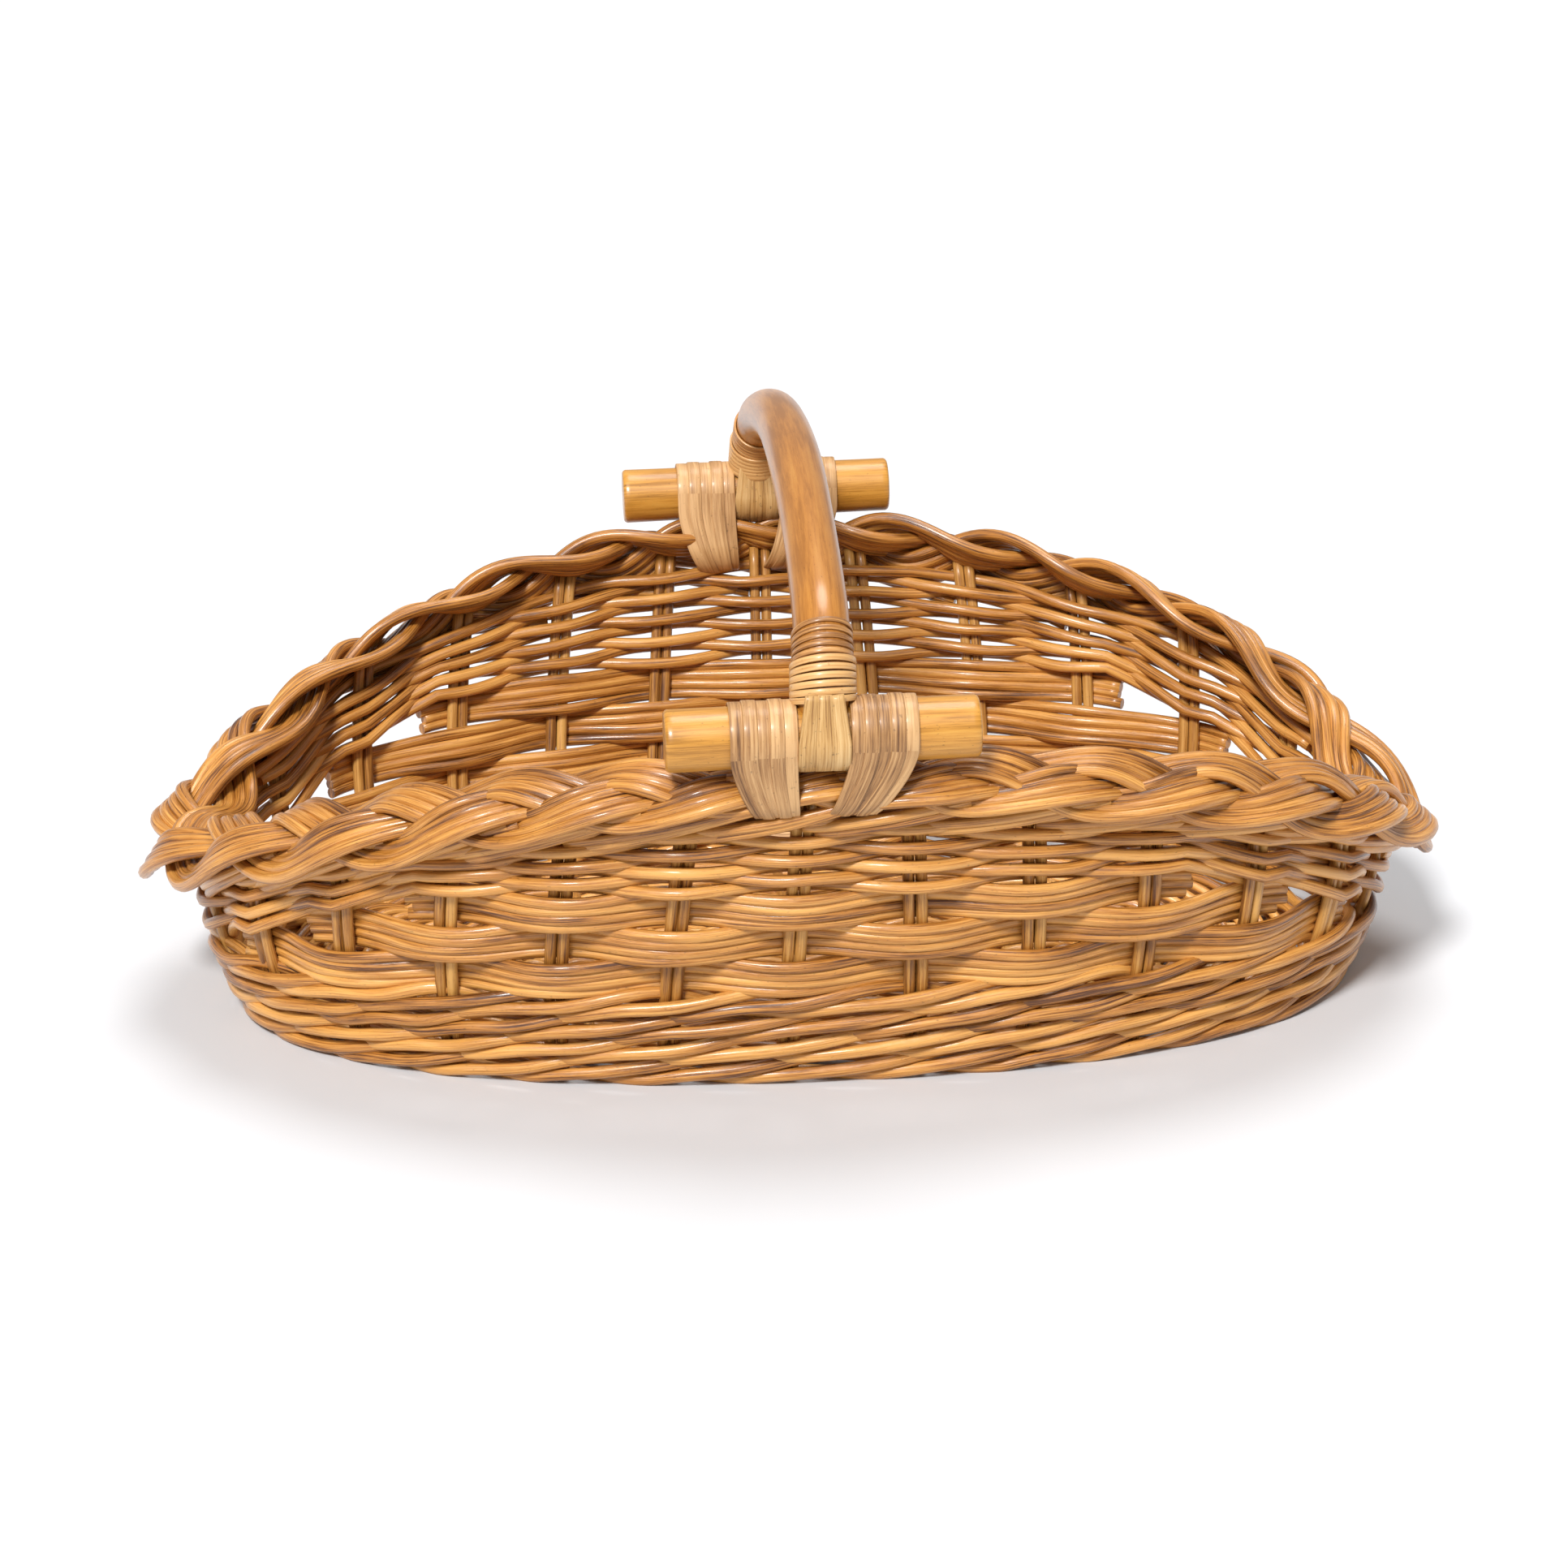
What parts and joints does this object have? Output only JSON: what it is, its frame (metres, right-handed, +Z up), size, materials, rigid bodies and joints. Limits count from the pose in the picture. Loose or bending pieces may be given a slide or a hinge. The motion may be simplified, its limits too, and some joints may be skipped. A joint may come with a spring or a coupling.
{
  "type": "egg collection basket",
  "caption": "Oval hand-woven rattan basket with a rim that dips at both ends and a fixed hoop handle lashed to two crossbars, for gathering eggs.",
  "frame": {"origin": "on the floor under the middle of the basket's bounding box", "axes": "+X along the basket's length towards its lower end, +Y across it towards the rear crossbar, +Z up"},
  "size_m": [0.4341, 0.289, 0.1931],
  "materials": {
    "weaver_rod": "gloss",
    "stake_rod": "gloss",
    "rattan_pole": "gloss",
    "rattan_peel": "satin"
  },
  "bodies": {
    "root": {"base_weave_lower": "weaver_rod", "base_weave_upper": "weaver_rod", "base_long_sticks": "stake_rod", "base_cross_sticks": "stake_rod", "stakes_front": "stake_rod", "stakes_rear": "stake_rod", "stakes_left": "stake_rod", "stakes_right": "stake_rod", "wale_course_1": "weaver_rod", "wale_course_2": "weaver_rod", "wale_course_3": "weaver_rod", "wale_course_4": "weaver_rod", "block_band_front_1": "weaver_rod", "block_band_front_2": "weaver_rod", "block_band_front_3": "weaver_rod", "block_band_rear_1": "weaver_rod", "block_band_rear_2": "weaver_rod", "block_band_rear_3": "weaver_rod", "rand_course_1": "weaver_rod", "rand_course_2": "weaver_rod", "rand_course_3": "weaver_rod", "rand_course_4": "weaver_rod", "rand_course_5": "weaver_rod", "rand_course_6": "weaver_rod", "rand_course_7": "weaver_rod", "rand_course_8": "weaver_rod", "rand_course_9": "weaver_rod", "border_plait": "weaver_rod", "crossbar_front": "rattan_pole", "crossbar_rear": "rattan_pole", "handle_hoop": "rattan_pole", "leg_binding_front": "rattan_peel", "leg_binding_rear": "rattan_peel", "lashing_front_left": "rattan_peel", "lashing_front_right": "rattan_peel", "lashing_rear_left": "rattan_peel", "lashing_rear_right": "rattan_peel"}
  },
  "joints": []
}
